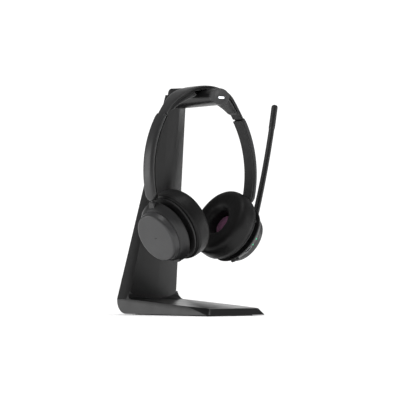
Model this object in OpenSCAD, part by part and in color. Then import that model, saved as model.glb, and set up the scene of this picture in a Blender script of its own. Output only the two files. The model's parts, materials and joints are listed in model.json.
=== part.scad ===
// Office headset with a stowed boom microphone, hanging on its charging stand.
// Frame: origin at the centre of the stand's footprint on the floor, +Z up,
// X across the head, the boom side at +X, and the front of the stand at -Y.

/* [Headband] */
// Height of the headband's top above the floor while it hangs on the stand
band_top_z = 228; // [226:0.5:230]
// Outer radius of the headband's top arc
band_r = 59.4; // [59.2:0.1:59.7]
// Width of the headband at its top
band_w = 27; // [24:1:30]
// Thickness of the padding under the headband
pad_t = 6.8; // [5:0.2:7.5]

/* [Arms] */
// Half of the width over the two arms at their widest
arm_reach = 70.3; // [70:0.1:70.4]
// Height of the widest place
arm_wide_z = 142; // [141:0.5:143]
// Outer radius of the arms
arm_r = 104; // [103:0.5:105]
// Width of an arm
arm_w = 14; // [13:0.5:15]
// How far an arm slides out
arm_travel = 20; // [10:1:20]

/* [Ear cups] */
// Distance of a cap's centre from the middle plane
cup_x = 58.9; // [58.8:0.1:59.1]
// Height of a cap's centre
cup_z = 75.5; // [75:0.1:76]
// Lean of the cups away from upright
cup_lean = 27.5; // [27:0.1:28]
// Radius of the flat cap
cap_r = 25.2; // [24:0.2:25.4]
// Largest radius of the cup housing
cup_r = 31.9; // [31.4:0.1:32.2]
// Radius of the baffle's flange
flange_r = 33; // [32.5:0.1:33.5]
// Outer radius of an ear cushion
cushion_r = 35.4; // [34:0.2:35.6]
// Radius of the opening in an ear cushion
ear_hole_r = 12; // [12:0.5:14]

/* [Boom] */
// Length of the boom's curved arm
boom_len = 97; // [80:1:100]
// Length of the microphone head
mic_len = 26; // [18:1:28]

/* [Stand] */
// Length of the base, front to back
base_len = 144; // [140:1:150]
// Width of the base on the floor
base_w = 75; // [72:1:80]
// Width of the stand's arm
perch_w = 24.6; // [23:0.2:26]

/* [Hidden] */
$fn = 64;
e = 0.01;

band_y = -18;                       // plane of the headband
band_c = [0, band_top_z - band_r];  // centre of the top arc, as X and Z
arm_c = [arm_reach - arm_r, arm_wide_z];
arm_in = arm_r - 6.4;               // inner radius of an arm
spring_r = band_r - 2.5;            // inner radius of the steel spring band
spring_t = 1.6;
liner_t = 0.8;
mouth_a = 33;                       // where an arm's mouth lies on the arm's own arc
strip_a = 29.9;                     // where the strip ends on the band's arc
rail_a = 25.5;                        // where the rail turns straight
rail_len = arm_travel + 7;
swivel_lean = 15;                   // lean of the swivel axis from upright
swivel_p = [arm_c.x + (arm_r - 3) * cos(swivel_lean), arm_c.y - (arm_r - 3) * sin(swivel_lean)];
tilt_drop = 10.2;                   // tilt pin below the swivel point, along the swivel axis
tilt_p = swivel_p - tilt_drop * [sin(swivel_lean), cos(swivel_lean)];
tilt_d = tilt_p - [cup_x, cup_z];   // and in the cup's own frame
tilt_x = tilt_d.x * sin(cup_lean) + tilt_d.y * cos(cup_lean);
tilt_t = tilt_d.y * sin(cup_lean) - tilt_d.x * cos(cup_lean);
wall_t = 6.7;                       // the housing's outer face, inward from the cap's face
rim_t = 14.9;
flange_t = 20.9;
ring_t = 22.9;
mesh_t = 30.6;                      // the speaker cloth, on the baffle's collar
pad_back_t = 24.3;
pad_front_t = 43.8;
usb_a = -126;                       // places round a cup's rim, from its top towards the back
lens_a = [-99, -112];
mute_a = -160;
noise_a = -170;
rocker_pin_r = 27.9;                // the rocker's pin, from the cup's axis
boom_root = [24, -2.2];           // start of the boom's arc in the cup's own frame
boom_a = 10.2;
boom_bend = 900;
boom_end_a = boom_a + boom_len / boom_bend * 180 / PI;
boom_tip = [boom_root.x + boom_bend * (sin(boom_end_a) - sin(boom_a)),
            boom_root.y + boom_bend * (cos(boom_a) - cos(boom_end_a))];
perch_z = 207.4;                      // underside of the stand's arm
perch_h = 16.5;
perch_front = -44;
joint_z = 15.4;                     // where the mast stands on the base
cove_c = [49.3, 22.25];             // centre of the cove between base and mast, as Y and Z

black = [0.06, 0.06, 0.065];
soft_black = [0.10, 0.10, 0.11];
steel = [0.66, 0.67, 0.69];

// ---------- helpers ----------

module side(s) {
  if (s < 0) mirror([1, 0, 0]) children();
  else children();
}

// A cup's own frame: X up its face, Y back, Z inward from the cap's face
module in_cup(s) {
  side(s) translate([cup_x, band_y, cup_z]) rotate([0, cup_lean - 90, 0]) children();
}

// The swivel's own frame: Z up along the swivel pin
module in_swivel(s) {
  side(s) translate([swivel_p.x, band_y, swivel_p.y]) rotate([0, swivel_lean, 0]) children();
}

// A profile, X as radius and Y across the band, swept about the centre c in the XZ plane
module arc_sweep(c, a0, a1) {
  translate([c.x, band_y, c.y]) rotate([90, 0, 0]) rotate([0, 0, a0])
    rotate_extrude(angle = a1 - a0, $fn = 180) children();
}

// A slab between two radii, its corners on the outer side rounded
module slab(r0, r1, w, rc) {
  translate([r0, -w / 2]) square([r1 - r0 - rc, w]);
  translate([r0, -w / 2 + rc]) square([r1 - r0, w - 2 * rc]);
  for (y = [-1, 1]) translate([r1 - rc, y * (w / 2 - rc)]) circle(rc);
}

module round_rect(w, h, r) {
  square([w, h - 2 * r], center = true);
  square([w - 2 * r, h], center = true);
  for (x = [-1, 1], y = [-1, 1]) translate([x * (w / 2 - r), y * (h / 2 - r)]) circle(r);
}

function ellipse_pts(w, h, n = 64) = [for (i = [0:n - 1]) [w / 2 * cos(i * 360 / n), h / 2 * sin(i * 360 / n)]];

// Half width of the strip at a distance x from the middle
function strip_half(x, inset = 0) =
  let (f = max(0, min(1, (abs(x) - 22) / 27)))
  6.6 + (band_w / 2 - 6.6) * (0.5 + 0.5 * cos(180 * f)) - inset;

module strip_plan(inset = 0) {
  xs = [for (i = [-30:30]) i * 2];
  translate([0, band_y, 150]) linear_extrude(100)
    polygon(concat([for (x = xs) [x, -strip_half(x, inset)]],
                   [for (i = [len(xs) - 1:-1:0]) [xs[i], strip_half(xs[i], inset)]]));
}

// ---------- stand ----------

function column_front(z) = 60.7 - 0.192 * z;
function column_width(z) = 65 - 0.192 * z;
function column_depth(z) = 15.01 - 0.0488 * z;

// The column's section: a ridge down its front, flanks that flare towards the back
function column_pts(z, inset = 0) =
  let (w = column_width(z) / 2, y = column_front(z), d = column_depth(z), u = 0.3 * d)
  [[0, y - 0.19 * w + inset * 1.2], [w - inset * 1.2, y + inset], [w + u - inset * 1.4, y + d - inset],
   [-w - u + inset * 1.4, y + d - inset], [-w + inset * 1.2, y + inset]];

module column_slice(z, inset = 0) {
  translate([0, 0, z]) linear_extrude(e) polygon(column_pts(z, inset));
}

module base_corner(x, y, z, h, r) {
  for (s = [-1, 1]) translate([s * (x - r), y + r, z]) cylinder(h = h, r = r, $fn = 32);
}

// A bar across the stand, half as wide as w
module cross_bar(w, y, z, depth = e) {
  translate([-w, y, z]) cube([2 * w, depth, e]);
}

// The base and its cove seen from the side: a low front, a slope, a cove, a round heel
module base_profile() {
  heel = 17;
  heel_a = asin((joint_z - 0.8 - heel) / heel);
  cove = 7;
  back = base_len / 2;
  rotate([90, 0, 90]) translate([0, 0, -50]) linear_extrude(100)
    polygon(concat([[-base_len, 0.8], [-base_len, 7.4], [-67.5, 7.4]],
      [for (a = [-86:8:10]) cove_c + cove * [cos(a), sin(a)]],
      [[column_front(joint_z), joint_z]],
      [for (i = [0:12]) let (a = heel_a - (90 + heel_a) * i / 12)
        [back - heel + heel * cos(a), 0.8 + heel + heel * sin(a)]]));
}

module base_outer() {
  front = -base_len / 2;
  back = base_len / 2;
  low = base_w / 2;
  top = low - 4.5;
  intersection() {
    hull() {
      base_corner(low, front, 0.8, 0.4, 3.5);
      base_corner(top, front + 4.5, 6.8, 0.4, 2.5);
      cross_bar(low, back - 12, 0.8, 12);
      cross_bar(low - 2.2, back, joint_z);
      cross_bar(column_width(joint_z) / 2, column_front(joint_z), joint_z);
      cross_bar(column_width(29) / 2, 40, 29, 15);
    }
    base_profile();
  }
}

module perch_section(w, h, y0, y1) {
  translate([0, y1, perch_z + h / 2]) rotate([90, 0, 0]) linear_extrude(y1 - y0) polygon(ellipse_pts(w, h));
}

screw_spots = [[24, -56], [-24, -56], [22, 48], [-22, 48]];

module stand_base() {
  color(black) difference() {
    base_outer();
    hull() {
      column_slice(joint_z);
      column_slice(60);
    }
    // hollow, stepped under the sloping top, and the seat of the bottom plate
    difference() {
      union() {
        translate([-28, -62, 0]) cube([56, 72, 5.3]);
        translate([-27, 5, 0]) cube([54, 30, 7.4]);
        translate([-26, 30, 0]) cube([52, 31, 9.4]);
      }
      for (p = screw_spots) translate([p.x, p.y, 2.4]) cylinder(h = 12, r = 3.2);
    }
    translate([0, -6, 0]) linear_extrude(2.4) round_rect(61.6, 116.4, 6);
    for (p = screw_spots) translate([p.x, p.y, 0]) cylinder(h = 5, r = 1.25);
    // passage for the ribbon, and the opening for the power inlet
    translate([-5, 56.5, 4]) cube([10, 10.9, 11.6]);
    translate([0, 78, 7.5]) rotate([90, 0, 0]) linear_extrude(20) round_rect(9.7, 4, 1.9);
  }
}

module stand_mast() {
  color(black) difference() {
    union() {
      hull() {
        column_slice(joint_z);
        column_slice(221);
      }
      perch_section(perch_w, perch_h, perch_front, -2);
      hull() {
        perch_section(perch_w, perch_h, -2, -1);
        perch_section(perch_w, 20.2, 4, 12);
        translate([-8, 18.6, 222.2]) rotate([0, 90, 0]) cylinder(h = 16, r = 5.4, $fn = 32);
        translate([-8.5, 18, perch_z + 2]) cube([17, 5, 2]);
      }
    }
    // hollow of the column
    hull() {
      column_slice(joint_z - 1, 2);
      column_slice(213, 1.3);
    }
    // hollow of the arm, its seat for the headband's pad, and its open end
    translate([-8, perch_front - 1, perch_z + 3]) cube([16, 59, 10]);
    translate([-4, 10, perch_z + 4.5]) cube([8, 12.8, 6.5]);
    translate([-5.5, band_y - 13, perch_z + 14.6]) cube([11, 26, 8]);
  }
}

module base_plate() {
  color(steel) difference() {
    translate([0, -6, 1.2]) linear_extrude(1.2) round_rect(61.2, 116, 6);
    for (p = screw_spots) translate([p.x, p.y, 0]) cylinder(h = 5, r = 1.25);
  }
}

module ballast_weight() {
  color([0.35, 0.35, 0.37]) difference() {
    translate([-26.5, -60, 2.5]) cube([53, 84, 2.7]);
    for (x = [-24, 24]) translate([x, -56, 0]) cylinder(h = 9, r = 3.8);
  }
}

module foot_pad() {
  color([0.08, 0.08, 0.08]) translate([0, -6, 0]) linear_extrude(1.2) round_rect(61, 115.8, 6);
}

module base_screws() {
  color(steel) for (p = screw_spots) translate([p.x, p.y, 1.2]) cylinder(h = 3.6, r = 1.2);
}

// Dished face of the stand's arm, with a slot for the light
module perch_end_cap() {
  color(soft_black) difference() {
    perch_section(perch_w, perch_h, perch_front - 2.5, perch_front);
    translate([0, perch_front - 2.5 - 39.4, perch_z + perch_h / 2]) sphere(40, $fn = 128);
    translate([2, perch_front + 1, perch_z + 7.4]) rotate([90, 0, 0]) linear_extrude(6) round_rect(7.5, 2.1, 0.9);
  }
}

module status_light() {
  color("white") translate([2, perch_front, perch_z + 7.4]) rotate([90, 0, 0])
    linear_extrude(2.2) round_rect(7.3, 1.9, 0.8);
}

module charge_saddle() {
  color([0.12, 0.12, 0.13]) translate([0, band_y, perch_z + 14.6]) linear_extrude(1)
    round_rect(10.8, 25.8, 2);
}

module charge_coil() {
  color([0.72, 0.42, 0.2]) translate([0, band_y, perch_z + 11]) difference() {
    cylinder(h = 1.6, r = 7.4);
    translate([0, 0, -1]) cylinder(h = 4, r = 3);
  }
}

module stand_board() {
  color([0.05, 0.3, 0.15]) translate([-14, 34, 4]) cube([28, 22, 1.2]);
}

module usb_shell(len) {
  difference() {
    linear_extrude(len) round_rect(9, 3.3, 1.55);
    translate([0, 0, 1]) linear_extrude(len) round_rect(8.4, 2.7, 1.25);
  }
  translate([-3.3, -0.35, 1]) cube([6.6, 0.7, len - 2]);
}

module stand_usb_inlet() {
  color(steel) translate([0, 59, 7.5]) rotate([-90, 0, 0]) usb_shell(7.9);
}

// Flat cable from the base, up inside the column, to the charging coil
module stand_ribbon() {
  t = 0.7;
  color([0.2, 0.2, 0.2]) rotate([90, 0, 90]) translate([0, 0, -2.5]) linear_extrude(5)
    polygon([[34, 5.4], [57.6, 5.4], [57.6, 9.8], [65, 14.3], [21.5, 217.5], [-9, 217.5],
             [-9, 217.5 - t], [20.95, 217.5 - t], [65 - t, 14.6], [57.6 - t, 10.2],
             [57.6 - t, 5.4 + t], [34, 5.4 + t]]);
}

// ---------- headband ----------

module band_outer() {
  color(black) intersection() {
    arc_sweep(band_c, strip_a, 180 - strip_a) difference() {
      translate([spring_r, -band_w]) square([band_r - spring_r, 2 * band_w]);
      translate([0, -4.9]) square([spring_r + spring_t, 9.8]);
    }
    strip_plan();
  }
}

// Steel band, and the two straight rails that the arms slide on
module band_spring() {
  color(steel) {
    arc_sweep(band_c, rail_a, 180 - rail_a) translate([spring_r, -4.8]) square([spring_t, 9.6]);
    for (s = [-1, 1]) side(s)
      translate([band_c.x, band_y - 4.65, band_c.y]) rotate([0, -rail_a, 0])
        translate([spring_r + 0.12, 0, -rail_len]) cube([spring_t - 0.24, 9.3, rail_len + 0.5]);
  }
}

module band_lower() {
  color(soft_black) difference() {
    intersection() {
      arc_sweep(band_c, strip_a + 1, 179 - strip_a) translate([spring_r - 1.3, -band_w])
        square([1.3, 2 * band_w]);
      strip_plan(0.8);
    }
    arc_sweep(band_c, 81, 99) translate([spring_r - 0.9, -8.1]) square([1, 16.2]);
  }
}

module charge_receiver() {
  color([0.72, 0.42, 0.2]) arc_sweep(band_c, 81.2, 98.8)
    translate([spring_r - 0.85, -8]) square([0.8, 16]);
}

module band_cushion(s) {
  r1 = spring_r - 1.35;
  color([0.09, 0.09, 0.09]) side(s) intersection() {
    arc_sweep(band_c, 34, 73) union() {
      translate([r1 - 3, -11.2]) square([3, 22.4]);
      translate([r1 - pad_t, -8.2]) square([pad_t - 1, 16.4]);
      for (y = [-1, 1]) translate([r1 - pad_t + 3.2, y * 8]) circle(3.2);
      translate([r1 - pad_t + 3.2, -11.2]) square([2, 22.4]);
    }
    strip_plan(0.9);
  }
}

// ---------- arms ----------

// Outline of an arm from outside: its lower end is a half round
module arm_outline(inset = 0) {
  translate([20, band_y, 119.3]) rotate([90, 0, 90]) linear_extrude(60) {
    circle(arm_w / 2 - inset);
    translate([-arm_w / 2 + inset, 0]) square([arm_w - 2 * inset, 100]);
  }
}

module arm_shell(s) {
  color(black) side(s) difference() {
    intersection() {
      arc_sweep(arm_c, -19, mouth_a) slab(arm_in + liner_t, arm_r, arm_w, 2.2);
      arm_outline();
    }
    arc_sweep(arm_c, 11.5, mouth_a + 1) translate([arm_in + liner_t - 0.1, -5.3]) square([4.2, 10.6]);
    in_swivel(1) {
      translate([0, 0, -9]) cylinder(h = 17, r = 1.55);
      translate([0, 0, 3.9]) cylinder(h = 1.4, r = 2.6);
      translate([-5, -2.6, 3.9]) cube([5, 5.2, 1.4]);
    }
    // size marks
    for (i = [0:2]) arc_sweep(arm_c, -15 + 2.2 * i, -14.2 + 2.2 * i)
      translate([arm_r - 0.3, -1.2]) square([1, 2.4]);
  }
}

module arm_liner(s) {
  color(soft_black) side(s) intersection() {
    arc_sweep(arm_c, -18.4, mouth_a) translate([arm_in, -arm_w / 2]) square([liner_t, arm_w]);
    arm_outline(0.5);
  }
}

// Swivel pin and lug in one piece
module yoke(s) {
  color([0.13, 0.13, 0.14]) in_swivel(s) difference() {
    union() {
      translate([0, 0, -6]) cylinder(h = 13.6, r = 1.5);
      translate([0, 0, -7.5]) cylinder(h = 2.4, r = 2.9);
      intersection() {
        translate([-2.9, -3.8, -tilt_drop]) cube([5.8, 7.6, tilt_drop - 5.6]);
        translate([0, 0, -tilt_drop]) cylinder(h = 10, r = 4.4);
      }
      translate([0, 3.8, -tilt_drop]) rotate([90, 0, 0]) cylinder(h = 7.6, r = 2.9);
    }
    translate([0, 10, -tilt_drop]) rotate([90, 0, 0]) cylinder(h = 20, r = 1.05);
    translate([0, 0, 4.2]) difference() {
      cylinder(h = 0.8, r = 3);
      translate([0, 0, -1]) cylinder(h = 3, r = 1.1);
    }
  }
}

module swivel_clip(s) {
  color(steel) in_swivel(s) translate([0, 0, 4.2]) difference() {
    cylinder(h = 0.8, r = 2.3);
    translate([0, 0, -1]) cylinder(h = 3, r = 1.1);
    translate([-4, -0.7, -1]) cube([4, 1.4, 3]);
  }
}

module tilt_pin(s) {
  color(steel) in_swivel(s) translate([0, 8, -tilt_drop]) rotate([90, 0, 0]) cylinder(h = 16, r = 1);
}

// ---------- ear cups ----------

// Outer line of the housing, radius against depth
housing_line = [[cup_r - 5.7, wall_t], [cup_r - 4.2, 8.1], [cup_r - 2.4, 10.2], [cup_r - 0.9, 12.5],
                [cup_r, 14.3], [cup_r - 0.4, rim_t]];

// Something small at an angle on the rim, its Z pointing outward
module on_rim(angle, t, r = 0) {
  rotate([0, 0, angle]) translate([r, 0, t]) rotate([0, 90, 0]) children();
}

module hinge_block(grow = 0) {
  for (s = [-1, 1]) translate([23.8 - grow, (s < 0 ? -8.6 : 4.2) - grow, 9.1 - grow])
    cube([8.4 + 2 * grow, 4.4 + 2 * grow, 6 + 2 * grow]);
}

module screw_places() {
  for (a = [62, 165, 298]) rotate([0, 0, a]) translate([26.2, 0, 0]) children();
}

module cup_wall() {
  difference() {
    union() {
      rotate_extrude($fn = 128) polygon(concat([[6, wall_t], [housing_line[0].x, wall_t]],
        [for (i = [1:3]) housing_line[i]],
        [[cup_r - 0.45, 13.4], [cup_r - 2.6, 13.4], [cup_r - 3, 12.6], [cup_r - 4.4, 10.6],
         [cup_r - 6.1, 8.9], [cup_r - 7, 8.3], [6, 8.3]]));
      intersection() {
        screw_places() translate([0, 0, 8.2]) cylinder(h = 5.2, r = 2.2);
        cylinder(h = 20, r = cup_r - 4.4);
      }
    }
    screw_places() translate([0, 0, 9.5]) cylinder(h = 8, r = 0.9);
    translate([23.7, -8.7, 9]) cube([12, 17.4, 8]);
  }
}

// A slot through the housing's wall for a control
module rim_slot(angle, t, w, h) {
  on_rim(angle, t, 22) linear_extrude(14) round_rect(h, w, h / 2 - 0.05);
}

module left_housing() {
  color(black) in_cup(-1) difference() {
    cup_wall();
    rim_slot(noise_a, 11, 10.4, 3.2);
  }
}

module right_housing() {
  color(black) in_cup(1) {
    difference() {
      union() {
        cup_wall();
        difference() {
          translate([0, 0, 2.6]) cylinder(h = 5.6, r = 12);
          translate([0, 0, 1]) cylinder(h = 10, r = 6);
          translate([0, 0, 2.65]) difference() {
            cylinder(h = 0.7, r = 14);
            cylinder(h = 0.7, r = 11.3);
          }
        }
      }
      rim_slot(usb_a, 10.9, 9.8, 4.1);
      rim_slot(mute_a, 11, 10.4, 3.2);
      for (a = lens_a) on_rim(a, 10.6, 22) cylinder(h = 12, r = 0.95);
      // opening for the volume rocker
      rotate([0, 0, 102]) translate([0, 0, 9.3]) rotate_extrude(angle = 36, $fn = 128)
        translate([25, 0]) square([10, 3.4]);
    }
    rotate([0, 0, 120]) translate([rocker_pin_r, 0, 9]) cylinder(h = 3.6, r = 0.5);
  }
}

module chassis(s) {
  color(soft_black) in_cup(s) difference() {
    union() {
      rotate_extrude($fn = 128) polygon([[22.4, 13.4], [cup_r - 0.45, 13.4], [cup_r, 14.3],
        [cup_r - 0.4, rim_t], [24, rim_t], [24, flange_t], [22.4, flange_t]]);
      intersection() {
        hinge_block();
        rotate_extrude($fn = 128) polygon(concat([[0, wall_t]], housing_line, [[0, rim_t + 1]]));
      }
    }
    translate([24.3, -4.2, 5]) cube([12, 8.4, 13]);
    translate([tilt_x, 9, tilt_t]) rotate([90, 0, 0]) cylinder(h = 18, r = 1);
    screw_places() translate([0, 0, 9]) cylinder(h = 8, r = 0.95);
  }
}

module baffle(s) {
  color(soft_black) in_cup(s) difference() {
    union() {
      translate([0, 0, flange_t]) cylinder(h = 0.6, r1 = flange_r - 0.5, r2 = flange_r);
      translate([0, 0, flange_t + 0.6]) cylinder(h = 0.8, r = flange_r);
      translate([0, 0, flange_t + 1.4]) cylinder(h = 0.6, r1 = flange_r, r2 = flange_r - 0.6);
      translate([0, 0, flange_t - 2.4]) cylinder(h = 2.5, r = 22.3);
      translate([0, 0, flange_t + 1]) cylinder(h = mesh_t - flange_t - 1, r = ear_hole_r - 0.4);
    }
    translate([0, 0, flange_t - 3]) cylinder(h = 3, r = 19.8);
    translate([0, 0, flange_t - 1]) cylinder(h = 12, r = ear_hole_r - 2);
  }
}

module driver(s) {
  color([0.25, 0.25, 0.27]) in_cup(s) {
    translate([0, 0, flange_t - 2]) cylinder(h = 1.9, r = 19.6);
    translate([0, 0, 13.6]) cylinder(h = flange_t - 2 - 13.6 + e, r = 12);
  }
}

module speaker_mesh(s) {
  color([0.45, 0.12, 0.38]) in_cup(s) translate([0, 0, mesh_t]) cylinder(h = 0.5, r = ear_hole_r - 0.5);
}

module cushion_ring(s) {
  color(soft_black) in_cup(s) translate([0, 0, ring_t]) difference() {
    cylinder(h = pad_back_t - ring_t, r = flange_r - 1.6);
    translate([0, 0, -1]) cylinder(h = 4, r = 16.4);
  }
}

module ear_cushion(s) {
  h = pad_front_t - pad_back_t;
  r = 6;
  color([0.09, 0.09, 0.095]) in_cup(s) translate([0, 0, pad_back_t]) rotate_extrude($fn = 128) {
    translate([ear_hole_r + 1.5, 0]) square([cushion_r - ear_hole_r - 2.3, 2]);
    translate([ear_hole_r, 1.4]) square([cushion_r - ear_hole_r, h - r - 1.4]);
    translate([ear_hole_r + r, 1]) square([cushion_r - ear_hole_r - 2 * r, h - 1]);
    for (x = [ear_hole_r + r, cushion_r - r]) translate([x, h - r]) circle(r);
  }
}

module cup_board(s) {
  color([0.05, 0.3, 0.15]) in_cup(s) translate([0, 0, 8.6]) difference() {
    cylinder(h = 1, r = 20);
    translate([0, 0, -1]) cylinder(h = 3, r = 3.6);
  }
}

module cup_screws(s) {
  color(steel) in_cup(s) screw_places() {
    translate([0, 0, 10]) cylinder(h = rim_t - 10, r = 0.88);
    translate([0, 0, rim_t]) cylinder(h = 0.9, r = 1.7);
  }
}

module cap_blank() {
  edge = 2.6;
  cylinder(h = edge, r = cap_r - edge, $fn = 128);
  translate([0, 0, edge]) rotate_extrude($fn = 128) translate([cap_r - edge, 0]) circle(edge);
  translate([0, 0, edge]) cylinder(h = wall_t - 0.4 - edge, r1 = cap_r, r2 = cap_r + 0.8, $fn = 128);
}

module left_cap() {
  color(black) in_cup(-1) difference() {
    cap_blank();
    translate([0, 0, 1.8]) cylinder(h = 8, r = cap_r - 1.8, $fn = 128);
    translate([0, 0, -e]) rotate([0, 0, 90]) linear_extrude(0.5) round_rect(3.4, 1.3, 0.6);
  }
}

module left_battery() {
  color([0.75, 0.77, 0.8]) in_cup(-1) translate([0, 0, 9.9]) linear_extrude(3.2) round_rect(26, 24, 2);
}

module rim_button() {
  linear_extrude(8.6) round_rect(2.6, 9.6, 1.25);
}

module left_noise_button() {
  color([0.16, 0.16, 0.17]) in_cup(-1) on_rim(noise_a, 11, 22.9) rim_button();
}

module right_mute_button() {
  color([0.16, 0.16, 0.17]) in_cup(1) on_rim(mute_a, 11, 22.9) rim_button();
}

module boom_hub() {
  color(black) in_cup(1) difference() {
    cap_blank();
    translate([0, 0, -1]) cylinder(h = 4.6, r = 16.4);
    translate([0, 0, 1]) cylinder(h = 8, r = 12.06);
  }
}

module boom_snap_ring() {
  color(steel) in_cup(1) translate([0, 0, 2.7]) difference() {
    cylinder(h = 0.6, r = 13.8);
    translate([0, 0, -1]) cylinder(h = 3, r = 11.4);
    translate([-15, -1.5, -1]) cube([6, 3, 3]);
  }
}

module right_cap_button() {
  color(black) in_cup(1) {
    cylinder(h = 1.4, r = 16);
    translate([0, 0, 1.3]) cylinder(h = 6, r = 3);
  }
}

// The boom's arc, in the cup's own frame, from its root to its tip
module boom_sweep(a0, a1) {
  c = [boom_root.x - boom_bend * sin(boom_a), boom_root.y + boom_bend * cos(boom_a)];
  translate([c.x, 0, c.y]) rotate([90, 0, 0]) rotate([0, 0, a0 - 90])
    rotate_extrude(angle = a1 - a0, $fn = 720) children();
}

module boom_section(w, h, c) {
  polygon([[w / 2, h / 2 - c], [w / 2 - c, h / 2], [c - w / 2, h / 2], [-w / 2, h / 2 - c],
           [-w / 2, c - h / 2], [c - w / 2, -h / 2], [w / 2 - c, -h / 2], [w / 2, c - h / 2]]);
}

module boom_arm() {
  color(black) in_cup(1) {
    // a hair short of the microphone head, so that the two meet without overlap
    boom_sweep(boom_a, boom_end_a - 0.0002) translate([boom_bend, 0]) boom_section(3.8, 6.2, 1.2);
    intersection() {
      translate([17.4, -3.4, -5]) cube([13.6, 6.8, 5]);
      translate([17, 0, -3.2]) rotate([0, boom_a, 0]) translate([-5, -5, -0.8]) cube([40, 10, 8]);
    }
  }
}

module in_mic_head() {
  in_cup(1) translate([boom_tip.x, 0, boom_tip.y]) rotate([0, 90 - boom_end_a, 0]) children();
}

module mic_head() {
  color(black) in_mic_head() difference() {
    union() {
      linear_extrude(mic_len - 3.2) round_rect(5, 6.6, 2.2);
      translate([-2.5, 0, mic_len - 3.2]) rotate([0, 90, 0]) cylinder(h = 5, r = 3.2);
    }
    translate([0, 0, mic_len - 14]) linear_extrude(11) round_rect(2.7, 3.9, 1);
    for (i = [0:2]) translate([-4, -1.4, mic_len - 12 + 3 * i]) cube([3, 2.8, 1]);
  }
}

module mic_capsule() {
  color([0.6, 0.6, 0.62]) in_mic_head() translate([0, 0, mic_len - 9.5]) rotate([0, 90, 0])
    cylinder(h = 1.2, r = 1.9, center = true);
}

module right_usb_socket() {
  color(steel) in_cup(1) on_rim(usb_a, 10.9, 21) rotate([0, 0, 90]) usb_shell(8.2);
}

module status_lenses() {
  color([0.45, 0.9, 0.45]) in_cup(1) for (a = lens_a) on_rim(a, 10.6, 25) cylinder(h = 4.9, r = 0.9);
}

// Rocker that tips about a pin parallel to the cup's axis
module volume_rocker() {
  color([0.16, 0.16, 0.17]) in_cup(1) difference() {
    rotate([0, 0, 104]) translate([0, 0, 9.7])
      rotate_extrude(angle = 32, $fn = 128) translate([26.6, 0]) square([4.5, 2.6]);
    rotate([0, 0, 120]) translate([rocker_pin_r, 0, 9]) cylinder(h = 6, r = 0.55);
  }
}

stand_base();
stand_mast();
base_plate();
ballast_weight();
foot_pad();
base_screws();
perch_end_cap();
status_light();
charge_saddle();
charge_coil();
stand_board();
stand_usb_inlet();
stand_ribbon();
band_outer();
band_spring();
band_lower();
charge_receiver();
band_cushion(-1);  // left_band_cushion
band_cushion(1);  // right_band_cushion
arm_shell(-1);  // left_arm_shell
arm_shell(1);  // right_arm_shell
arm_liner(-1);  // left_arm_liner
arm_liner(1);  // right_arm_liner
yoke(-1);  // left_yoke
yoke(1);  // right_yoke
swivel_clip(-1);  // left_swivel_clip
swivel_clip(1);  // right_swivel_clip
tilt_pin(-1);  // left_tilt_pin
tilt_pin(1);  // right_tilt_pin
left_housing();
right_housing();
chassis(-1);  // left_chassis
chassis(1);  // right_chassis
baffle(-1);  // left_baffle
baffle(1);  // right_baffle
driver(-1);  // left_driver
driver(1);  // right_driver
speaker_mesh(-1);  // left_speaker_mesh
speaker_mesh(1);  // right_speaker_mesh
cushion_ring(-1);  // left_cushion_ring
cushion_ring(1);  // right_cushion_ring
ear_cushion(-1);  // left_ear_cushion
ear_cushion(1);  // right_ear_cushion
cup_board(-1);  // left_cup_board
cup_board(1);  // right_cup_board
cup_screws(-1);  // left_cup_screws
cup_screws(1);  // right_cup_screws
left_cap();
left_battery();
left_noise_button();
right_cap_button();
boom_snap_ring();
boom_hub();
boom_arm();
mic_head();
mic_capsule();
right_usb_socket();
status_lenses();
right_mute_button();
volume_rocker();
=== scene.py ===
import bpy
import bmesh
import json
import math
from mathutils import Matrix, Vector, noise

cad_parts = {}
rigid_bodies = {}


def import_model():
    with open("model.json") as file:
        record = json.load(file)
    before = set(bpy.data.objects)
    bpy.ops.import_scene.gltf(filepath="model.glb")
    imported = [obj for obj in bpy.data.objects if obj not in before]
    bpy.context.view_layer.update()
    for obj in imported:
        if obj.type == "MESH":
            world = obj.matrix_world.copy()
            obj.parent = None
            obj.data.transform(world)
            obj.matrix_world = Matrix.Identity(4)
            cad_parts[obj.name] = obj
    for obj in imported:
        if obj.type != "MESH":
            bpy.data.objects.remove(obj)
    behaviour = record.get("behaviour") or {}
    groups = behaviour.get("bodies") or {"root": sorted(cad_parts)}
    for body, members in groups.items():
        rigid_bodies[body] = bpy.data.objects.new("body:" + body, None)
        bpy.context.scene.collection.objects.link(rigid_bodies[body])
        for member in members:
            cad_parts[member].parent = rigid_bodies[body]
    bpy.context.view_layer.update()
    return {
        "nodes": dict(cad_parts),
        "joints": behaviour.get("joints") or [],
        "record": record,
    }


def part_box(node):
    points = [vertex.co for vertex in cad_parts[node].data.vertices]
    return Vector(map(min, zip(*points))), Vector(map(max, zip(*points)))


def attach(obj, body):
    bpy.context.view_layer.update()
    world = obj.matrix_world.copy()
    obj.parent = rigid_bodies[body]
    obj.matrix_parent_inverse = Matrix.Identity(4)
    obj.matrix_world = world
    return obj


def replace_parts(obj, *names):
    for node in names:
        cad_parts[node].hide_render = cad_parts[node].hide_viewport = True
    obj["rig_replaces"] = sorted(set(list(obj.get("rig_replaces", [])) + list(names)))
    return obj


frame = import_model()
scene = bpy.context.scene
nodes = frame["nodes"]
joints = {j["name"]: j for j in frame["joints"]}

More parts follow.
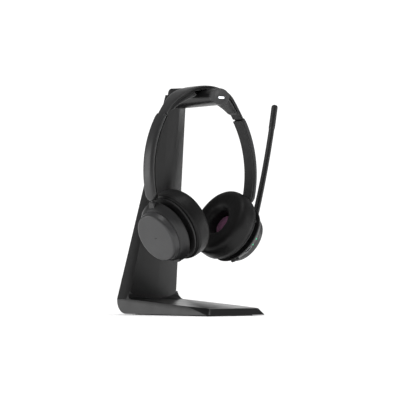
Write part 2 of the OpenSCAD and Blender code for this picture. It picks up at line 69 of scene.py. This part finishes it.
# ---------------------------------------------------------------- camera
AIM = Vector((0.0, -0.018, 0.041))
FORWARD = Vector((0.6561, 0.7547, 0.0)).normalized()
CAMERA_BACK = 2.0
cam_data = bpy.data.cameras.new("camera")
cam_data.lens = 180.9
cam_data.sensor_width = 36
cam_data.shift_x = -0.003
cam_data.shift_y = 0.185
cam_data.clip_start = 0.05
cam_data.clip_end = 60
cam = bpy.data.objects.new("camera", cam_data)
cam.location = AIM - FORWARD * CAMERA_BACK
cam.rotation_euler = FORWARD.to_track_quat("-Z", "Y").to_euler()
scene.collection.objects.link(cam)
scene.camera = cam
scene.view_settings.view_transform = "Standard"
scene.view_settings.look = "None"


# ---------------------------------------------------------------- materials
def new_material(name):
    m = bpy.data.materials.new(name)
    m.use_nodes = True
    t = m.node_tree
    b = t.nodes["Principled BSDF"]
    coord = t.nodes.new("ShaderNodeTexCoord")
    return m, t, b, coord.outputs["Object"]


def add_noise(t, vec, scale, detail=3.0, rough=0.55):
    n = t.nodes.new("ShaderNodeTexNoise")
    n.inputs["Scale"].default_value = scale
    n.inputs["Detail"].default_value = detail
    n.inputs["Roughness"].default_value = rough
    t.links.new(vec, n.inputs["Vector"])
    return n.outputs["Fac"]


def span(t, fac, low, high, f0=0.3, f1=0.7):
    m = t.nodes.new("ShaderNodeMapRange")
    m.inputs["From Min"].default_value = f0
    m.inputs["From Max"].default_value = f1
    m.inputs["To Min"].default_value = low
    m.inputs["To Max"].default_value = high
    t.links.new(fac, m.inputs["Value"])
    return m.outputs["Result"]


def ramp(t, fac, a, b, p0=0.3, p1=0.7):
    r = t.nodes.new("ShaderNodeValToRGB")
    r.color_ramp.elements[0].position = p0
    r.color_ramp.elements[1].position = p1
    r.color_ramp.elements[0].color = (*a, 1)
    r.color_ramp.elements[1].color = (*b, 1)
    t.links.new(fac, r.inputs["Fac"])
    return r.outputs["Color"]


def bump(t, b, height, strength, distance, under=None):
    n = t.nodes.new("ShaderNodeBump")
    n.inputs["Strength"].default_value = strength
    n.inputs["Distance"].default_value = distance
    t.links.new(height, n.inputs["Height"])
    if under is not None:
        t.links.new(under, n.inputs["Normal"])
    t.links.new(n.outputs["Normal"], b.inputs["Normal"])
    return n.outputs["Normal"]


def plastic(name, base, rough, spec=0.5, grain=0.35, scale=2600.0, vary=0.04):
    """Moulded plastic: a fine eroded grain, with a slow drift in gloss and tone."""
    m, t, b, v = new_material(name)
    slow = add_noise(t, v, 38.0, 2.0)
    dark = tuple(c * 0.86 for c in base)
    light = tuple(min(1.0, c * 1.14) for c in base)
    t.links.new(ramp(t, slow, dark, light), b.inputs["Base Color"])
    t.links.new(span(t, add_noise(t, v, 85.0, 4.0), rough - vary, rough + vary), b.inputs["Roughness"])
    b.inputs["Specular IOR Level"].default_value = spec
    bump(t, b, add_noise(t, v, scale, 2.0), grain, 0.00003)
    return m


def leatherette(name, base, rough, cell=1150.0, depth=0.00006, strength=0.5, spec=0.4):
    """Coated soft cover: small pebbled cells, broad soft creases, a tone that drifts at random."""
    m, t, b, v = new_material(name)
    vor = t.nodes.new("ShaderNodeTexVoronoi")
    vor.feature = "DISTANCE_TO_EDGE"
    vor.inputs["Scale"].default_value = cell
    t.links.new(v, vor.inputs["Vector"])
    t.links.new(ramp(t, add_noise(t, v, 70.0, 3.0), tuple(c * 0.8 for c in base),
                     tuple(c * 1.25 for c in base)), b.inputs["Base Color"])
    t.links.new(span(t, add_noise(t, v, 120.0, 4.0), rough - 0.05, rough + 0.06), b.inputs["Roughness"])
    b.inputs["Specular IOR Level"].default_value = spec
    first = bump(t, b, add_noise(t, v, 95.0, 3.0), 0.25, 0.0004)
    bump(t, b, span(t, vor.outputs["Distance"], 0.0, 1.0, 0.0, 0.35), strength, depth, first)
    return m


def woven(name, a, c, scale, rough=0.85, depth=0.00012, sheen=0.25):
    """Plain weave: two crossed thread waves, in object space."""
    m, t, b, v = new_material(name)
    waves = []
    for axis in ("X", "Z"):
        w = t.nodes.new("ShaderNodeTexWave")
        w.wave_type = "BANDS"
        w.bands_direction = axis
        w.inputs["Scale"].default_value = scale
        w.inputs["Distortion"].default_value = 0.6
        w.inputs["Detail"].default_value = 1.0
        t.links.new(v, w.inputs["Vector"])
        waves.append(w.outputs["Fac"])
    mul = t.nodes.new("ShaderNodeMath")
    mul.operation = "MULTIPLY"
    t.links.new(waves[0], mul.inputs[0])
    t.links.new(waves[1], mul.inputs[1])
    t.links.new(ramp(t, mul.outputs["Value"], a, c, 0.05, 0.6), b.inputs["Base Color"])
    b.inputs["Roughness"].default_value = rough
    b.inputs["Sheen Weight"].default_value = sheen
    bump(t, b, mul.outputs["Value"], 0.7, depth)
    return m


def metal(name, base, rough, brushed=True):
    m, t, b, v = new_material(name)
    b.inputs["Metallic"].default_value = 1.0
    if brushed:
        mp = t.nodes.new("ShaderNodeMapping")
        mp.inputs["Scale"].default_value = (1.0, 1.0, 0.04)
        t.links.new(v, mp.inputs["Vector"])
        v = mp.outputs["Vector"]
    n = add_noise(t, v, 1800.0, 3.0)
    t.links.new(ramp(t, n, tuple(c * 0.88 for c in base), base), b.inputs["Base Color"])
    t.links.new(span(t, n, rough - 0.06, rough + 0.06), b.inputs["Roughness"])
    bump(t, b, n, 0.2, 0.00002)
    return m


def lens(name, color, strength):
    m, t, b, v = new_material(name)
    n = add_noise(t, v, 500.0, 2.0)
    t.links.new(ramp(t, n, tuple(c * 0.92 for c in color), color), b.inputs["Base Color"])
    t.links.new(ramp(t, n, tuple(c * 0.92 for c in color), color), b.inputs["Emission Color"])
    b.inputs["Emission Strength"].default_value = strength
    b.inputs["Roughness"].default_value = 0.25
    return m


MAT = {
    # the black plastics are one finish: the cap, band and arms get lighter base colours as painted light, for
    # the light that falls on them, and the stand a darker one as painted shade
    "stand_finish": plastic("stand_plastic_painted_shade", (0.0048, 0.0048, 0.0050), 0.33, 0.42),
    "cap_finish": plastic("cap_plastic_painted_light", (0.026, 0.026, 0.027), 0.36, grain=0.25),
    "galvanised_steel": metal("plate_steel", (0.62, 0.63, 0.65), 0.42),
    "ballast_iron": metal("ballast_iron", (0.12, 0.12, 0.13), 0.62, False),
    "foot_rubber": plastic("foot_rubber", (0.012, 0.012, 0.012), 0.8, 0.2, 0.6, 1400.0),
    "screw_steel": metal("screw_steel", (0.6, 0.61, 0.63), 0.3),
    "light_lens": lens("light_lens", (0.92, 0.95, 1.0), 0.85),
    "green_lens": lens("green_lens", (0.06, 0.42, 0.22), 0.3),
    "coil_copper": metal("coil_copper", (0.72, 0.38, 0.2), 0.35),
    "board_green": plastic("board_green", (0.02, 0.12, 0.055), 0.4),
    "ribbon_cable": plastic("ribbon_cable", (0.05, 0.05, 0.05), 0.55),
    "band_shell": plastic("band_plastic_painted_light", (0.017, 0.017, 0.0175), 0.34, grain=0.25),
    "band_steel": metal("band_steel", (0.035, 0.035, 0.037), 0.4),
    "inner_plastic": plastic("inner_plastic", (0.007, 0.007, 0.007), 0.55),
    "pad_leatherette": leatherette("ear_leatherette", (0.0042, 0.0041, 0.0042), 0.42, spec=0.24),
    "band_leatherette": woven("band_fabric", (0.004, 0.004, 0.004), (0.014, 0.014, 0.015), 700.0),
    "arm_shell": plastic("arm_plastic_painted_light", (0.014, 0.014, 0.0145), 0.36, grain=0.25),
    "cup_shell": plastic("cup_plastic", (0.009, 0.009, 0.0095), 0.36, grain=0.25),
    "dark_chassis": plastic("chassis_plastic", (0.005, 0.005, 0.0052), 0.5),
    "driver_metal": metal("driver_metal", (0.35, 0.35, 0.37), 0.4),
    "speaker_cloth": woven("speaker_cloth", (0.035, 0.006, 0.024), (0.20, 0.035, 0.13), 480.0, 0.8),
    "battery_foil": metal("battery_foil", (0.6, 0.62, 0.65), 0.35),
    "button_plastic": plastic("button_plastic", (0.012, 0.012, 0.0125), 0.4),
    "boom_shell": plastic("boom_plastic", (0.0075, 0.0075, 0.008), 0.4),
    "capsule_metal": metal("capsule_metal", (0.55, 0.55, 0.56), 0.35, False),
}
slot_of = {p["node"]: p["material_slot"] for p in frame["record"]["subparts"]}
body_of = {n: b for b, ns in frame["record"]["behaviour"]["bodies"].items() for n in ns}
for name, obj in nodes.items():
    obj.data.materials.clear()
    obj.data.materials.append(MAT[slot_of[name]])


# ---------------------------------------------------------------- mesh helpers
def make(name, verts, faces, material, body, replaced=(), smooth=None):
    """A mesh piece that rides on a body, shaded smooth all over or only below an angle in degrees."""
    me = bpy.data.meshes.new(name)
    me.from_pydata([tuple(v) for v in verts], [], faces)
    me.validate()
    obj = bpy.data.objects.new(name, me)
    scene.collection.objects.link(obj)
    me.materials.append(MAT[material])
    bm = bmesh.new()
    bm.from_mesh(me)
    bmesh.ops.recalc_face_normals(bm, faces=bm.faces)
    bm.to_mesh(me)
    bm.free()
    if smooth is None:
        me.shade_smooth()
    else:
        me.set_sharp_from_angle(angle=math.radians(smooth))
    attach(obj, body)
    if replaced:
        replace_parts(obj, *replaced)
    return obj


def rounded(node, width, angle=32.0, segments=3, seam=None):
    """The CAD node's own shape with its edges broken by a small round.

    Edges that lie at the height seam, where the node meets its neighbour, stay as they are.
    """
    src = nodes[node].data
    bm = bmesh.new()
    bm.from_mesh(src)
    bmesh.ops.remove_doubles(bm, verts=bm.verts, dist=2e-6)
    bmesh.ops.dissolve_limit(bm, angle_limit=math.radians(0.6), verts=bm.verts, edges=bm.edges)
    bm.normal_update()
    verts = [v.co.copy() for v in bm.verts]
    faces = [[v.index for v in f.verts] for f in bm.faces]
    bm.free()
    obj = make("skin_" + node, verts, faces, slot_of[node], body_of[node], (node,), smooth=angle)
    mod = obj.modifiers.new("edge_round", "BEVEL")
    mod.width = width
    mod.segments = segments
    mod.limit_method = "WEIGHT"
    weight = obj.data.attributes.new("bevel_weight_edge", "FLOAT", "EDGE")
    bm = bmesh.new()
    bm.from_mesh(obj.data)
    for i, e in enumerate(bm.edges):
        sharp = len(e.link_faces) == 2 and e.calc_face_angle(0.0) > math.radians(angle)
        joined = seam is not None and all(abs(v.co.z - seam) < 0.0004 for v in e.verts)
        weight.data[i].value = 1.0 if sharp and not joined else 0.0
    bm.free()
    mod.harden_normals = True
    mod.use_clamp_overlap = True
    mod.miter_outer = "MITER_ARC"
    return obj


for node, width in {
    "stand_base": 0.0009, "stand_mast": 0.0009, "perch_end_cap": 0.0004,
    "left_yoke": 0.0004, "right_yoke": 0.0004,
    "left_noise_button": 0.0003, "right_mute_button": 0.0003,
    "volume_rocker": 0.0004, "right_cap_button": 0.0002,
}.items():
    rounded(node, width, seam=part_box("stand_mast")[0].z if node in ("stand_base", "stand_mast") else None)

# ---------------------------------------------------------------- ear cushions and speaker cloths
CUP = Vector(joints["boom_turn"]["pos_m"])
OUT = Vector(joints["boom_turn"]["axis"]).normalized()
UP = Vector((-OUT.z, 0.0, OUT.x))


def cup_point(s, x, y, t):
    """A point of a cup's own frame, in metres: x up its face, y back, t inward from the cap."""
    p = CUP + UP * x + Vector((0, y, 0)) - OUT * t
    return Vector((s * p.x, p.y, p.z))


def power(v, k):
    return math.copysign(abs(v) ** k, v)


def simulate(obj, pinned, cap, pressure=4.0):
    """Inflates a closed soft piece a little, keeping every point within cap of where it was."""
    rest = [v.co.copy() for v in obj.data.vertices]
    group = obj.vertex_groups.new(name="pin")
    group.add(pinned, 1.0, "REPLACE")
    mod = obj.modifiers.new("cloth", "CLOTH")
    st = mod.settings
    st.quality = 5
    st.mass = 0.3
    st.tension_stiffness = st.compression_stiffness = 15
    st.shear_stiffness = 5
    st.bending_stiffness = 0.5
    st.use_pressure = True
    st.uniform_pressure_force = pressure
    st.vertex_group_mass = "pin"
    st.effector_weights.gravity = 0
    mod.point_cache.frame_start = 1
    mod.point_cache.frame_end = 20
    for f in range(1, 21):
        scene.frame_set(f)
    dg = bpy.context.evaluated_depsgraph_get()
    got = [v.co.copy() for v in obj.evaluated_get(dg).data.vertices]
    obj.modifiers.remove(mod)
    obj.vertex_groups.clear()
    for v, a, b in zip(obj.data.vertices, rest, got):
        d = b - a
        v.co = a + d * min(1.0, cap / max(d.length, 1e-9))
    scene.frame_set(1)


# the ear pad's section: its middle and half sizes, across the cup and inward from the cap
PAD_R, PAD_R_HALF = 0.0239, 0.0117
PAD_T, PAD_FRONT, PAD_BACK = 0.0322, 0.0118, 0.0091
CLOTH_R, CLOTH_T, CLOTH_DOME = 0.0114, 0.0316, 0.0008

for side, s in (("left", -1), ("right", 1)):
    AROUND, SECTION = 144, 56
    verts, faces, pins = [], [], []
    for i in range(AROUND):
        a = 2 * math.pi * i / AROUND
        for k in range(SECTION):
            f = 2 * math.pi * k / SECTION
            p = 2 / 3.1 if math.sin(f) > 0 else 2 / 5.5
            r = PAD_R + PAD_R_HALF * power(math.cos(f), p)
            t = PAD_T + (PAD_FRONT if math.sin(f) > 0 else PAD_BACK) * power(math.sin(f), p)
            out = max(0.0, math.cos(f))
            # the cover is gathered into a seam low on the outer side, and into the hole's edge
            r -= 0.00035 * math.exp(-((t - 0.0262) / 0.0005) ** 2) * out
            if math.cos(f) < 0:
                r += 0.0005 * math.exp(-((t - 0.0345) / 0.0012) ** 2)
            soft = noise.noise(Vector((math.cos(a) * 3.1, math.sin(a) * 3.1, f * 1.1 + 7 * s)))
            fine = noise.noise(Vector((math.cos(a) * 13, math.sin(a) * 13, f * 2.3 + 3 * s)))
            lift = 0.00022 * soft + 0.00009 * fine * (1.6 if math.cos(f) < -0.2 else 0.7)
            r += lift * math.cos(f)
            t += lift * math.sin(f)
            verts.append(cup_point(s, r * math.cos(a), r * math.sin(a), t))
            if t < 0.0252:
                pins.append(i * SECTION + k)
    for i in range(AROUND):
        for k in range(SECTION):
            j, n = (i + 1) % AROUND, (k + 1) % SECTION
            faces.append([i * SECTION + k, j * SECTION + k, j * SECTION + n, i * SECTION + n])
    pad = make(side + "_ear_pad", verts, faces, "pad_leatherette", side + "_cup",
               (side + "_ear_cushion",))
    simulate(pad, pins, 0.0006)
    sub = pad.modifiers.new("smooth", "SUBSURF")
    sub.levels = sub.render_levels = 1

    # cloth over the driver, stretched on its ring and a little domed
    rings, around = 12, 96
    verts, faces = [cup_point(s, 0, 0, CLOTH_T)], []
    for q in range(1, rings + 1):
        r = CLOTH_R * q / rings
        t = CLOTH_T - CLOTH_DOME * (q / rings) ** 2
        for i in range(around):
            a = 2 * math.pi * i / around
            verts.append(cup_point(s, r * math.cos(a), r * math.sin(a), t))
    for i in range(around):
        faces.append([0, 1 + i, 1 + (i + 1) % around])
        for q in range(1, rings):
            b0, b1 = 1 + (q - 1) * around, 1 + q * around
            j = (i + 1) % around
            faces.append([b0 + i, b1 + i, b1 + j, b0 + j])
    cloth = make(side + "_speaker_cloth", verts, faces, "speaker_cloth", side + "_cup",
                 (side + "_speaker_mesh",))

# ---------------------------------------------------------------- headband, boom and microphone
BAND_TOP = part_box("band_outer")[1].z
BAND_R = 0.0594
BAND_C = Vector((0.0, -0.018, BAND_TOP - BAND_R))


def strip_half(x):
    f = max(0.0, min(1.0, (abs(x) * 1000 - 22) / 27))
    return (6.6 + 6.9 * (0.5 + 0.5 * math.cos(math.pi * f))) / 1000


def loft(sections):
    """Closed sections of equal count, joined in order and closed at both ends."""
    verts = [p for sec in sections for p in sec]
    n, faces = len(sections[0]), []
    for i in range(len(sections) - 1):
        for k in range(n):
            j = (k + 1) % n
            faces.append([i * n + k, (i + 1) * n + k, (i + 1) * n + j, i * n + j])
    faces.append(list(range(n)))
    faces.append([(len(sections) - 1) * n + k for k in range(n)])
    return verts, faces


def soft_rect(k, n, a, b, p=6.0):
    """Point k of n round a rectangle a by b (half sizes) with rounded corners."""
    g = 2 * math.pi * (k + 0.5) / n
    c, d = math.cos(g), math.sin(g)
    m = (abs(c) ** p + abs(d) ** p) ** (-1 / p)
    return a * c * m, b * d * m


secs, N = [], 64
for i in range(121):
    ang = math.radians(29.95 + (180 - 59.9) * i / 120)
    half = strip_half((BAND_R - 0.001) * math.cos(ang))
    sec = []
    for k in range(N):
        y, d = soft_rect(k, N, half, 0.00124, 5.0)
        # a crown across the strip, and a fine raised line along its edges
        crown = -0.00035 * (y / half) ** 4
        r = BAND_R - 0.00126 + d + (crown if d > 0 else 0.0)
        sec.append(BAND_C + Vector((r * math.cos(ang), y, r * math.sin(ang))))
    secs.append(sec)
v, f = loft(secs)
make("headband_strip", v, f, "band_shell", "headband", ("band_outer",), smooth=50)

# arms: a rounded sleeve, hollow at its mouth where the band runs in, a half round at its tip
ARM_R = 0.104
SLEEVE_R, SLEEVE_HALF, TIP_Z = 0.1012, 0.007, 0.1193
ARM_X = max(abs(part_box("right_arm_shell")[1].x), abs(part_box("left_arm_shell")[0].x)) - ARM_R
ARM_C = Vector((ARM_X, -0.018, 0.142))


def arm_point(s, a, r, y):
    return Vector((s * (ARM_C.x + r * math.cos(a)), ARM_C.y + y, ARM_C.z + r * math.sin(a)))


for side, s in (("left", -1), ("right", 1)):
    secs, N = [], 56
    for a in (20.0, 26.0, 32.5, 33.0):
        grow = 0.0003 if a == 33.0 else 0.0
        secs.append([arm_point(s, math.radians(a), 0.10045 + d, y)
                     for y, d in (soft_rect(k, N, 0.0053 + grow, 0.00205 + grow / 2, 7.0) for k in range(N))])
    low = math.degrees(math.asin((0.1123 - ARM_C.z) / SLEEVE_R))
    for i in range(101):
        a = 33.0 + (low - 33.0) * (i / 100) ** 0.85
        z = ARM_C.z + SLEEVE_R * math.sin(math.radians(a))
        drop = max(0.0, TIP_Z - z)
        half = math.sqrt(max(SLEEVE_HALF ** 2 - drop ** 2, 0.0006 ** 2))
        lip = max(0.0, 1 - i / 2.0) * 0.0005
        thin = min(1.0, 0.45 + 0.55 * (half / SLEEVE_HALF))
        ring = [soft_rect(k, N, half - lip, 0.0028 * thin - lip / 2, 3.3) for k in range(N)]
        secs.append([arm_point(s, math.radians(a), SLEEVE_R + d, y) for y, d in ring])
    v, f = loft(secs)
    make(side + "_arm_sleeve", v, f, "arm_shell", side + "_arm", (side + "_arm_shell",), smooth=48)

# a small dark oval set into the left cap's middle
verts, faces = [], []
for t, k in ((-0.00004, 1.0), (0.0004, 0.94)):
    for i in range(40):
        a = 2 * math.pi * i / 40
        verts.append(cup_point(-1, 0.00062 * k * math.sin(a), 0.0021 * k * math.cos(a), t))
for i in range(40):
    faces.append([i, (i + 1) % 40, 40 + (i + 1) % 40, 40 + i])
faces += [list(range(40)), list(range(40, 80))]
make("cap_indicator", verts, faces, "dark_chassis", "left_cup", smooth=40)

# the boom: a slim bar that widens a little towards its root, in the cup's own frame
BOOM_ROOT, BOOM_A, BOOM_R, BOOM_LEN = (0.024, -0.0022), math.radians(10.2), 0.9, 0.097
BOOM_HALF = 0.0019
BC = (BOOM_ROOT[0] - BOOM_R * math.sin(BOOM_A), BOOM_ROOT[1] + BOOM_R * math.cos(BOOM_A))


def boom_at(d, n, y):
    """d along the boom from its root, n towards the cup's inside, y across."""
    a = BOOM_A + d / BOOM_R
    return cup_point(1, BC[0] + (BOOM_R - n) * math.sin(a), y, BC[1] - (BOOM_R - n) * math.cos(a))


secs = []
for i in range(61):
    d = -0.0065 + (BOOM_LEN + 0.0068) * i / 60
    foot = math.exp(-max(d, 0) / 0.03)
    w = 0.0031 + 0.0007 * foot
    h = BOOM_HALF
    e = min(1.0, (i + 0.35) / 2.2)
    # near its root the bar's inner side reaches down to the hub's face, t = 0, and joins it
    centre = BC[1] - BOOM_R * math.cos(BOOM_A + d / BOOM_R)
    reach = max(h, (0.0001 - centre) / math.cos(BOOM_A))
    sec = []
    for k in range(40):
        n, y = soft_rect(k, 40, h * e, w * e, 3.6)
        sec.append(boom_at(d, n / (h * e) * reach if n > 0 else n, y + 0.0005 * foot))
    secs.append(sec)
v, f = loft(secs)
make("boom_bar", v, f, "boom_shell", "boom", ("boom_arm",), smooth=55)

MIC_LEN = 0.026
secs = []
for i in range(49):
    u = i / 48
    d = BOOM_LEN - 0.0004 + MIC_LEN * u
    nose = math.sqrt(max(0.0, 1 - max(0.0, (u - 0.885) / 0.115) ** 2))
    neck = 0.9 + 0.1 * min(1.0, u / 0.05)
    w, h = 0.0033 * neck * max(nose, 0.02), 0.0025 * neck * max(nose, 0.02) ** 0.6
    sec = []
    for k in range(48):
        n, y = soft_rect(k, 48, h, w, 3.2)
        sec.append(boom_at(d, n, y))
    secs.append(sec)
v, f = loft(secs)
make("microphone_head", v, f, "boom_shell", "boom", ("mic_head",), smooth=55)

# three slots over the capsule, dark and sunk, on the side that faces the mouth
for q in range(3):
    d0 = BOOM_LEN + 0.0125 + 0.003 * q
    verts, faces = [], []
    for i, d in enumerate((d0, d0 + 0.001)):
        for y in (-0.0014, 0.0014):
            for n in (0.00254, 0.00205):
                verts.append(boom_at(d, n, y))
    faces = [[0, 2, 6, 4], [1, 3, 7, 5], [0, 1, 3, 2], [4, 5, 7, 6], [0, 1, 5, 4], [2, 3, 7, 6]]
    make("mic_slot_%d" % (q + 1), verts, faces, "dark_chassis", "boom", smooth=30)

# ---------------------------------------------------------------- headband cushions
for side, s in (("left", -1), ("right", 1)):
    LEN, SEC = 54, 40
    verts, faces = [], []
    for i in range(LEN + 1):
        u = i / LEN
        ang = math.radians(38.0 + 34.4 * u)
        end = min(1.0, math.sin(math.pi * min(max(u, 0.012), 0.988)) * 5.0) ** 0.5
        half = strip_half((BAND_R - 0.0038) * math.cos(ang)) - 0.0011
        half *= 0.82 + 0.18 * end
        for k in range(SEC):
            g = 2 * math.pi * k / SEC
            y = half * power(math.cos(g), 2 / 3.2)
            thick = 0.0014 + 0.0017 * u ** 0.8
            d = thick * end * power(math.sin(g), 2 / 2.6)
            r = BAND_R - 0.0039 - thick + d
            verts.append(BAND_C + Vector((s * r * math.cos(ang), y, r * math.sin(ang))))
    for i in range(LEN):
        for k in range(SEC):
            n = (k + 1) % SEC
            faces.append([i * SEC + k, (i + 1) * SEC + k, (i + 1) * SEC + n, i * SEC + n])
    faces.append([k for k in range(SEC)])
    faces.append([LEN * SEC + k for k in range(SEC)])
    pad = make(side + "_band_pad", verts, faces, "band_leatherette", "headband", (side + "_band_cushion",))
    sub = pad.modifiers.new("smooth", "SUBSURF")
    sub.levels = sub.render_levels = 1

# ---------------------------------------------------------------- the rest of the CAD's shading
replaced = {n for o in scene.objects for n in o.get("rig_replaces", [])}
for name, obj in nodes.items():
    if name not in replaced:
        obj.data.set_sharp_from_angle(angle=math.radians(32))

# ---------------------------------------------------------------- floor, light
floor_mesh = bpy.data.meshes.new("floor")
floor_mesh.from_pydata([(-30, -30, 0), (30, -30, 0), (30, 30, 0), (-30, 30, 0)], [], [(0, 1, 2, 3)])
floor = bpy.data.objects.new("floor", floor_mesh)
scene.collection.objects.link(floor)
fm, ft, fb, fv = new_material("floor_paper")
paper = ramp(ft, add_noise(ft, fv, 3.0), (0.955, 0.955, 0.955), (0.97, 0.97, 0.97))
ft.links.new(paper, fb.inputs["Base Color"])
fb.inputs["Roughness"].default_value = 0.9
floor_mesh.materials.append(fm)

world = bpy.data.worlds.new("studio")
world.use_nodes = True
wt = world.node_tree
wt.nodes["Background"].inputs["Color"].default_value = (1, 1, 1, 1)
path = wt.nodes.new("ShaderNodeLightPath")
room = wt.nodes.new("ShaderNodeMapRange")
room.inputs["To Min"].default_value = 1.15
room.inputs["To Max"].default_value = 0.24
wt.links.new(path.outputs["Is Glossy Ray"], room.inputs["Value"])
# the pale sweep behind the object, low down, which only shows in gloss seen edge-on
where = wt.nodes.new("ShaderNodeTexCoord")
facing = wt.nodes.new("ShaderNodeVectorMath")
facing.operation = "DOT_PRODUCT"
facing.inputs[1].default_value = FORWARD
wt.links.new(where.outputs["Generated"], facing.inputs[0])
sweep = wt.nodes.new("ShaderNodeMapRange")
sweep.inputs["From Min"].default_value = 0.90
sweep.inputs["From Max"].default_value = 0.985
sweep.inputs["To Max"].default_value = 1.25
wt.links.new(facing.outputs["Value"], sweep.inputs["Value"])
both = wt.nodes.new("ShaderNodeMath")
both.operation = "MULTIPLY_ADD"
wt.links.new(path.outputs["Is Glossy Ray"], both.inputs[0])
wt.links.new(sweep.outputs["Result"], both.inputs[1])
wt.links.new(room.outputs["Result"], both.inputs[2])
wt.links.new(both.outputs["Value"], wt.nodes["Background"].inputs["Strength"])
scene.world = world


def area(name, where, size, energy, aim=(0, 0, 0.12)):
    d = bpy.data.lights.new(name, "AREA")
    d.shape = "RECTANGLE"
    d.size, d.size_y = size
    d.energy = energy
    o = bpy.data.objects.new(name, d)
    o.location = where
    o.rotation_euler = (Vector(aim) - Vector(where)).to_track_quat("-Z", "Y").to_euler()
    scene.collection.objects.link(o)


area("left_back", (-1.25, 1.2, 0.35), (1.0, 0.7), 5.6)
area("front_right", (1.2, -1.5, 0.7), (0.9, 0.9), 1.7)
area("top", (-0.1, -0.3, 1.5), (0.9, 0.5), 4.0)
area("rim", (0.95, -0.55, 0.02), (0.25, 0.45), 1.6, (0.06, -0.02, 0.08))
